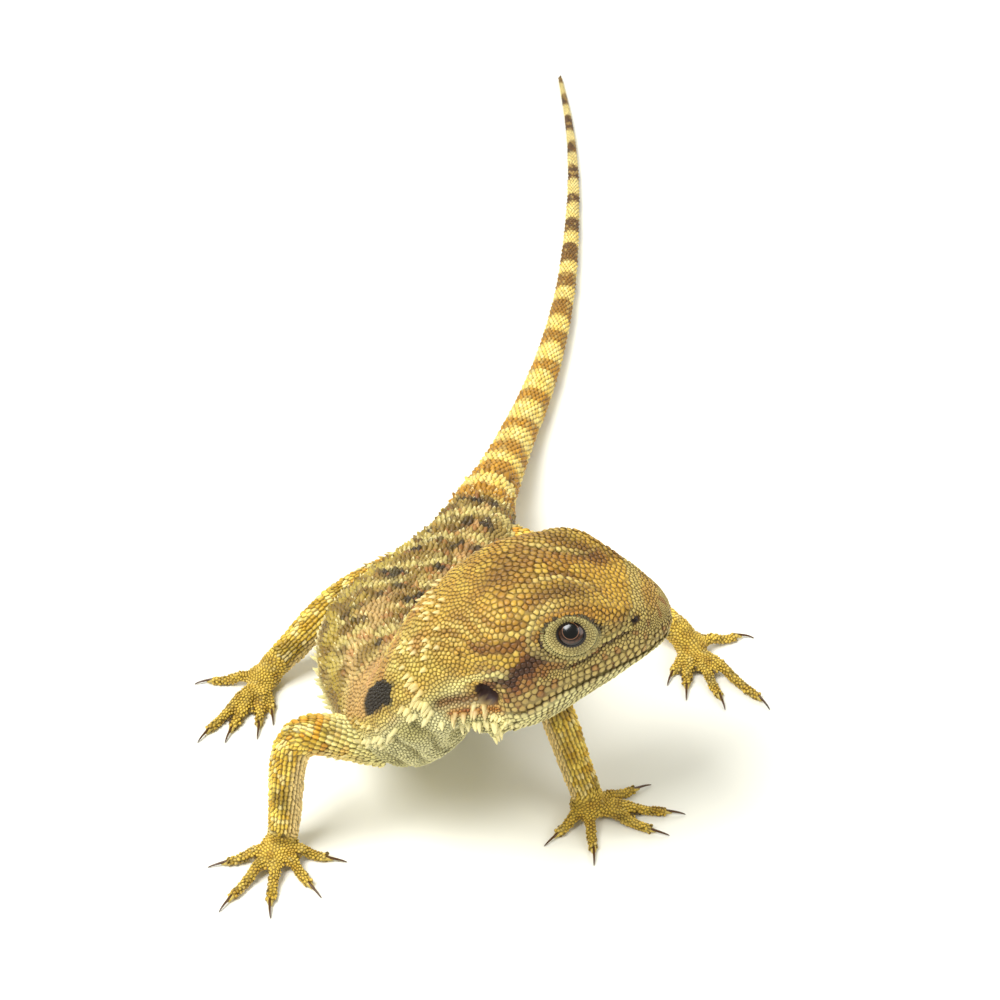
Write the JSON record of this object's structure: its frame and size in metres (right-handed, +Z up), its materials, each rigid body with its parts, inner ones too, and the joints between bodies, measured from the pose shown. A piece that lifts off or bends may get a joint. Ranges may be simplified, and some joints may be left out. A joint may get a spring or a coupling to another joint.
{
  "type": "bearded dragon lizard model",
  "caption": "Life-size still model of a juvenile bearded dragon lizard standing on all fours, head raised and turned to its left, tail laid out straight behind.",
  "frame": {"origin": "on the floor, under the middle of the whole animal's bounding box", "axes": "+Z up; the animal faces -Y and its tail runs towards +Y; its own left side is towards +X"},
  "size_m": [0.0804, 0.2022, 0.0455],
  "materials": {
    "head_scales": "dry keeled scales, golden tan with darker rims",
    "body_scales": "rough keeled scales, sandy brown with pale bars",
    "tail_scales": "ringed keeled scales, cream with brown bands",
    "limb_scales": "keeled scales, yellow tan, paler on the inside",
    "claw_horn": "dark brown horn",
    "eye": "wet, dark brown iris and black pupil"
  },
  "bodies": {
    "root": {"claw_foot_left_i": "claw_horn", "claw_foot_left_ii": "claw_horn", "claw_foot_left_iii": "claw_horn", "claw_foot_left_iv": "claw_horn", "claw_foot_left_v": "claw_horn", "claw_foot_right_i": "claw_horn", "claw_foot_right_ii": "claw_horn", "claw_foot_right_iii": "claw_horn", "claw_foot_right_iv": "claw_horn", "claw_foot_right_v": "claw_horn", "claw_hand_left_i": "claw_horn", "claw_hand_left_ii": "claw_horn", "claw_hand_left_iii": "claw_horn", "claw_hand_left_iv": "claw_horn", "claw_hand_left_v": "claw_horn", "claw_hand_right_i": "claw_horn", "claw_hand_right_ii": "claw_horn", "claw_hand_right_iii": "claw_horn", "claw_hand_right_iv": "claw_horn", "claw_hand_right_v": "claw_horn", "eye_left": "eye", "eye_right": "eye", "foot_left": "limb_scales", "foot_right": "limb_scales", "forearm_left": "limb_scales", "forearm_right": "limb_scales", "hand_left": "limb_scales", "hand_right": "limb_scales", "head": "head_scales", "lower_jaw": "head_scales", "neck": "body_scales", "shank_left": "limb_scales", "shank_right": "limb_scales", "tail_1": "tail_scales", "tail_2": "tail_scales", "tail_3": "tail_scales", "tail_4": "tail_scales", "thigh_left": "limb_scales", "thigh_right": "limb_scales", "trunk": "body_scales", "upper_arm_left": "limb_scales", "upper_arm_right": "limb_scales"}
  },
  "joints": []
}
